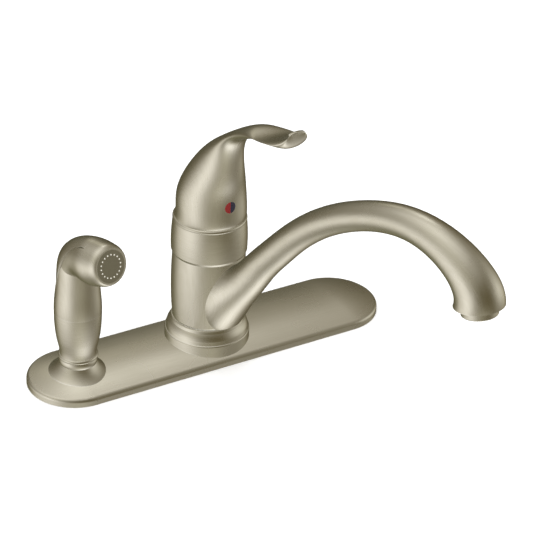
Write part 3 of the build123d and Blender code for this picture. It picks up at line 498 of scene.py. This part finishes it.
@dataclass
class ValveAssembly(Assembly):
    """Brass body with its cartridge, seals and cap ring."""

    finishes: dict[str, Finish] = field(
        default_factory=lambda: {
            "valve_body": Finish.BRASS,
            "spout_seals": Finish.RUBBER,
            "lower_glide": Finish.ACETAL,
            "upper_glide": Finish.ACETAL,
            "cap_ring": Finish.TURNED,
            "retainer_nut": Finish.BRASS,
            "cartridge_sleeve": Finish.ACETAL,
            "retaining_clip": Finish.STEEL,
            "cartridge_stem": Finish.BRASS,
            "stem_pin": Finish.STEEL,
            "handle_pivot": Finish.ACETAL,
            "hinge_pin": Finish.STEEL,
        }
    )


@dataclass
class SpoutAssembly(Assembly):
    """Swivel spout with its aerator."""

    finishes: dict[str, Finish] = field(
        default_factory=lambda: {
            "spout": Finish.SPOUT,
            "aerator_housing": Finish.TURNED,
            "aerator_insert": Finish.GREY,
            "aerator_washer": Finish.RUBBER,
        }
    )


@dataclass
class HandleAssembly(Assembly):
    """Lever handle with its fork, its set screw and the index mark."""

    finishes: dict[str, Finish] = field(
        default_factory=lambda: {
            "handle": Finish.HANDLE,
            "handle_fork": Finish.STEEL,
            "handle_screw": Finish.STEEL,
            "index_button": Finish.INDEX,
        }
    )


@dataclass
class SideSpray(Assembly):
    """Side spray with its holder, thumb lever, face and valve."""

    finishes: dict[str, Finish] = field(
        default_factory=lambda: {
            "spray_holder": Finish.TURNED,
            "hose_coupling": Finish.ACETAL,
            "spray_grip": Finish.TURNED,
            "spray_head": Finish.SPRAY,
            "spray_lever": Finish.SPRAY,
            "spray_lever_pin": Finish.STEEL,
            "spray_face": Finish.FACE,
            "face_seal": Finish.RUBBER,
            "spray_valve": Finish.ACETAL,
            "spray_spring": Finish.STEEL,
        }
    )
    elbow_radius: float = 17.0
    elbow_height: float = 86.6
    elbow_turn: float = 77.0
    nozzle_length: float = 23.3
    tip_circle: float = 8.0
    tip_count: int = 18
    tip_steps: int = 14
    tip_profile: tuple[tuple[float, float], ...] = (
        (0.52, -1.2),
        (0.52, 0.02),
        (0.44, 0.2),
        (0.28, 0.26),
        (0.2, 0.1),
    )

    def build(self, shop: Workshop) -> list[str]:
        """Dresses the nodes and adds the nozzle tips.

        Args:
            shop: The finishes.

        Returns:
            Names of the pieces.
        """
        pieces = super().build(shop)
        tips = self.make_tips()
        tips.data.materials.append(shop.made[Finish.TIPS])
        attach(tips, "spray")
        return [*pieces, tips.name]

    def face_frame(self) -> Matrix:
        """Frame of the spray's face: its middle, with Z out along the nozzle."""
        turn = math.radians(self.elbow_turn)
        reach = self.elbow_radius * (1 - math.cos(turn)) + self.nozzle_length * math.sin(turn)
        height = self.elbow_height + self.elbow_radius * math.sin(turn) + self.nozzle_length * math.cos(turn)
        heading = Matrix.Rotation(math.radians(SPRAY_HEADING), 4, "Z")
        place = Matrix.Translation((-HOLE_SPACING, 0.0, 0.0)) @ heading
        return place @ Matrix.Translation((0.0, -reach, height)) @ Matrix.Rotation(turn, 4, "X")

    def make_tips(self) -> bpy.types.Object:
        """Turns one soft nozzle tip for each hole of the face.

        Returns:
            The tips, one mesh.
        """
        mesh = bpy.data.meshes.new("spray_nozzle_tips")
        shape = bmesh.new()
        face = self.face_frame()
        steps = self.tip_steps
        for number in range(self.tip_count):
            turn = 2 * math.pi * number / self.tip_count
            middle = Vector((self.tip_circle * math.cos(turn), self.tip_circle * math.sin(turn), 0.0))
            rings = []
            for radius, height in self.tip_profile:
                ring = []
                for step in range(steps):
                    angle = 2 * math.pi * step / steps
                    point = middle + Vector((radius * math.cos(angle), radius * math.sin(angle), height))
                    ring.append(shape.verts.new((face @ point) * MM))
                rings.append(ring)
            for low, high in zip(rings, rings[1:]):
                for step in range(steps):
                    after = (step + 1) % steps
                    shape.faces.new((low[step], low[after], high[after], high[step]))
            shape.faces.new(rings[-1])
            shape.faces.new(list(reversed(rings[0])))
        shape.normal_update()
        shape.to_mesh(mesh)
        shape.free()
        mesh.shade_smooth()
        tips = bpy.data.objects.new("spray_nozzle_tips", mesh)
        bpy.context.scene.collection.objects.link(tips)
        return tips


@dataclass(frozen=True)
class Glow:
    """One soft patch of light on the tent's cloth."""

    azimuth: float
    elevation: float
    tightness: float
    strength: float
    colour: str = "#FFFFFF"

    def direction(self) -> Vector:
        """Unit vector from the faucet to the patch."""
        turn, rise = math.radians(self.azimuth), math.radians(self.elevation)
        return Vector((math.cos(rise) * math.cos(turn), math.cos(rise) * math.sin(turn), math.sin(rise)))


@dataclass
class Studio:
    """Pale counter, soft lamps, the tent that satin metal is photographed in, and the camera.

    The tent's patches of light are fitted to one view's shading, so they belong to that view.
    """

    lens: float = 161.554
    eye: tuple[float, float, float] = (-0.71789, -1.23326, 0.92652)
    azimuth: float = -31.827
    elevation: float = 31.122
    roll: float = 2.451
    tent_radius: float = 4.0
    tent_middle: tuple[float, float, float] = (0.03, 0.0, 0.08)
    counter_radius: float = 12.0
    counter_drop: float = 0.3
    surround_on_matt: float = 0.62
    tent_dim: tuple[float, float, float] = (0.14, 0.117, 0.055)
    glows: tuple[Glow, ...] = (
        Glow(183.0, -13.0, 6.1, 1.47, "#F2F6FF"),
        Glow(143.0, 71.0, 4.4, 1.22, "#F4F8FF"),
        Glow(335.0, 10.0, 8.6, 0.90, "#F7FBFF"),
        Glow(301.0, -74.0, 10.8, 1.88, "#EEF3FF"),
        Glow(73.0, 31.0, 110.0, 0.67, "#FCFFF8"),
        Glow(250.0, -43.0, 8.2, 0.47, "#FBFFF8"),
        Glow(142.0, -25.0, 14.4, 0.56, "#F9FCFF"),
        Glow(4.0, -14.0, 13.3, 0.65, "#F8FDFF"),
        Glow(63.0, 51.0, 110.0, 1.62, "#F1F7FF"),
        Glow(52.5, 43.0, 9.0, 0.11, "#FFF9ED"),
        Glow(190.0, 36.2, 9.0, 0.16, "#FAFFE9"),
        Glow(72.6, -2.6, 9.0, 0.13, "#B2DAFF"),
        Glow(92.6, -50.6, 9.0, 0.20, "#E7FFF0"),
    )

    def build(self) -> None:
        """Makes the camera, the counter, the lamps, the tent and the white surround."""
        self.make_camera()
        self.make_counter()
        self.make_lamps()
        self.make_tent()
        self.make_world()

    def make_camera(self) -> None:
        """Stands the camera where the photograph was taken from."""
        data = bpy.data.cameras.new("camera")
        data.lens = self.lens
        data.sensor_width = 36.0
        data.clip_start = 0.05
        data.clip_end = 50.0
        camera = bpy.data.objects.new("camera", data)
        camera.location = self.eye
        turn = Euler((math.radians(90 - self.elevation), 0.0, math.radians(self.azimuth)), "XYZ").to_matrix()
        tilt = Euler((0.0, 0.0, math.radians(self.roll)), "XYZ").to_matrix()
        camera.rotation_euler = (turn @ tilt).to_euler()
        bpy.context.scene.collection.objects.link(camera)
        bpy.context.scene.camera = camera

    def make_counter(self) -> None:
        """Lays the pale counter, a large round sheet of honed white stone, just under the deck seal."""
        mesh = bpy.data.meshes.new("counter")
        shape = bmesh.new()
        bmesh.ops.create_circle(shape, cap_ends=True, segments=96, radius=self.counter_radius)
        shape.to_mesh(mesh)
        shape.free()
        counter = bpy.data.objects.new("counter", mesh)
        counter.location = (0.0, 0.0, -self.counter_drop * MM)
        bpy.context.scene.collection.objects.link(counter)
        material, tree, shader = new_material("honed_white_counter")
        clouds = noise(tree, Grain((400.0, 400.0, 400.0)), 3.0)
        pale = blend(tree, ramp(tree, clouds, (0.3, 0.7), (0.0, 1.0)), linear("#FBFBFA"), linear("#FFFFFF"))
        tree.links.new(pale, shader.inputs["Base Color"])
        shader.inputs["Roughness"].default_value = 0.8
        shader.inputs["Specular IOR Level"].default_value = 0.1
        mesh.materials.append(material)
        counter.visible_glossy = False

    def make_lamps(self) -> None:
        """Hangs a large key lamp on the left, an overhead lamp and a weak fill on the right."""
        lamps = (
            ("key_lamp", (-1.6, -0.9, 1.5), 1.2, 26.0),
            ("top_lamp", (0.1, 0.2, 2.2), 1.8, 30.0),
            ("fill_lamp", (1.7, -1.0, 1.1), 1.4, 10.0),
        )
        for name, place, size, power in lamps:
            data = bpy.data.lights.new(name, "AREA")
            data.shape = "SQUARE"
            data.size = size
            data.energy = power
            lamp = bpy.data.objects.new(name, data)
            lamp.location = place
            aim = Vector((0.0, 0.0, 0.08)) - Vector(place)
            lamp.rotation_euler = aim.to_track_quat("-Z", "Y").to_euler()
            lamp.visible_glossy = False
            lamp.visible_camera = False
            bpy.context.scene.collection.objects.link(lamp)

    def make_tent(self) -> None:
        """Closes a light tent round the faucet, which only the metal's reflections see."""
        mesh = bpy.data.meshes.new("light_tent")
        shape = bmesh.new()
        bmesh.ops.create_icosphere(shape, subdivisions=4, radius=self.tent_radius)
        shape.to_mesh(mesh)
        shape.free()
        material = bpy.data.materials.new("tent_cloth")
        material.use_nodes = True
        tree = material.node_tree
        tree.nodes.clear()
        place = add_node(tree, "ShaderNodeTexCoord").outputs["Object"]
        outward = add_node(tree, "ShaderNodeVectorMath", {"operation": "NORMALIZE"}, {0: place}).outputs[0]
        total: object = self.tent_dim
        for glow in self.glows:
            tint = tuple(glow.strength * part for part in linear(glow.colour)[:3])
            near = add_node(
                tree, "ShaderNodeVectorMath", {"operation": "DOT_PRODUCT"}, {0: outward, 1: glow.direction()}
            ).outputs["Value"]
            fall = add_node(
                tree,
                "ShaderNodeMath",
                {"operation": "MULTIPLY_ADD"},
                {0: near, 1: glow.tightness, 2: -glow.tightness},
            ).outputs[0]
            soft = add_node(tree, "ShaderNodeMath", {"operation": "EXPONENT"}, {0: fall}).outputs[0]
            total = add_node(
                tree, "ShaderNodeVectorMath", {"operation": "MULTIPLY_ADD"}, {0: soft, 1: tint, 2: total}
            ).outputs[0]
        light = add_node(tree, "ShaderNodeEmission", inputs={"Color": total, "Strength": 1.0})
        add_node(tree, "ShaderNodeOutputMaterial", inputs={"Surface": light.outputs[0]})
        material.cycles.emission_sampling = "NONE"
        mesh.materials.append(material)
        tent = bpy.data.objects.new("light_tent", mesh)
        tent.location = self.tent_middle
        for ray in ("camera", "diffuse", "transmission", "volume_scatter", "shadow"):
            setattr(tent, f"visible_{ray}", False)
        bpy.context.scene.collection.objects.link(tent)

    def make_world(self) -> None:
        """Surrounds the scene with white, and with softer light for what is matt."""
        world = bpy.data.worlds.new("surround")
        bpy.context.scene.world = world
        world.use_nodes = True
        tree = world.node_tree
        tree.nodes.clear()
        path = add_node(tree, "ShaderNodeLightPath")
        seen: object = path.outputs["Is Camera Ray"]
        for ray in ("Is Glossy Ray", "Is Transmission Ray"):
            seen = add_node(
                tree, "ShaderNodeMath", {"operation": "MAXIMUM"}, {0: seen, 1: path.outputs[ray]}
            ).outputs[0]
        strength = ramp(tree, seen, (0.0, 1.0), (self.surround_on_matt, 1.0))
        light = add_node(
            tree, "ShaderNodeBackground", inputs={"Color": (1.0, 1.0, 1.0, 1.0), "Strength": strength}
        )
        add_node(tree, "ShaderNodeOutputWorld", inputs={"Surface": light.outputs[0]})


def main() -> None:
    """Builds the studio and every sub-assembly in order."""
    logging.basicConfig(level=logging.INFO, format="%(name)s: %(message)s")
    bpy.context.scene.view_settings.view_transform = "Standard"
    Studio().build()
    shop = Workshop()
    for assembly in (DeckAssembly(), ValveAssembly(), SpoutAssembly(), HandleAssembly(), SideSpray()):
        for piece in assembly.build(shop):
            LOG.info("%s: %s", type(assembly).__name__, piece)


if __name__ == "__main__":
    main()
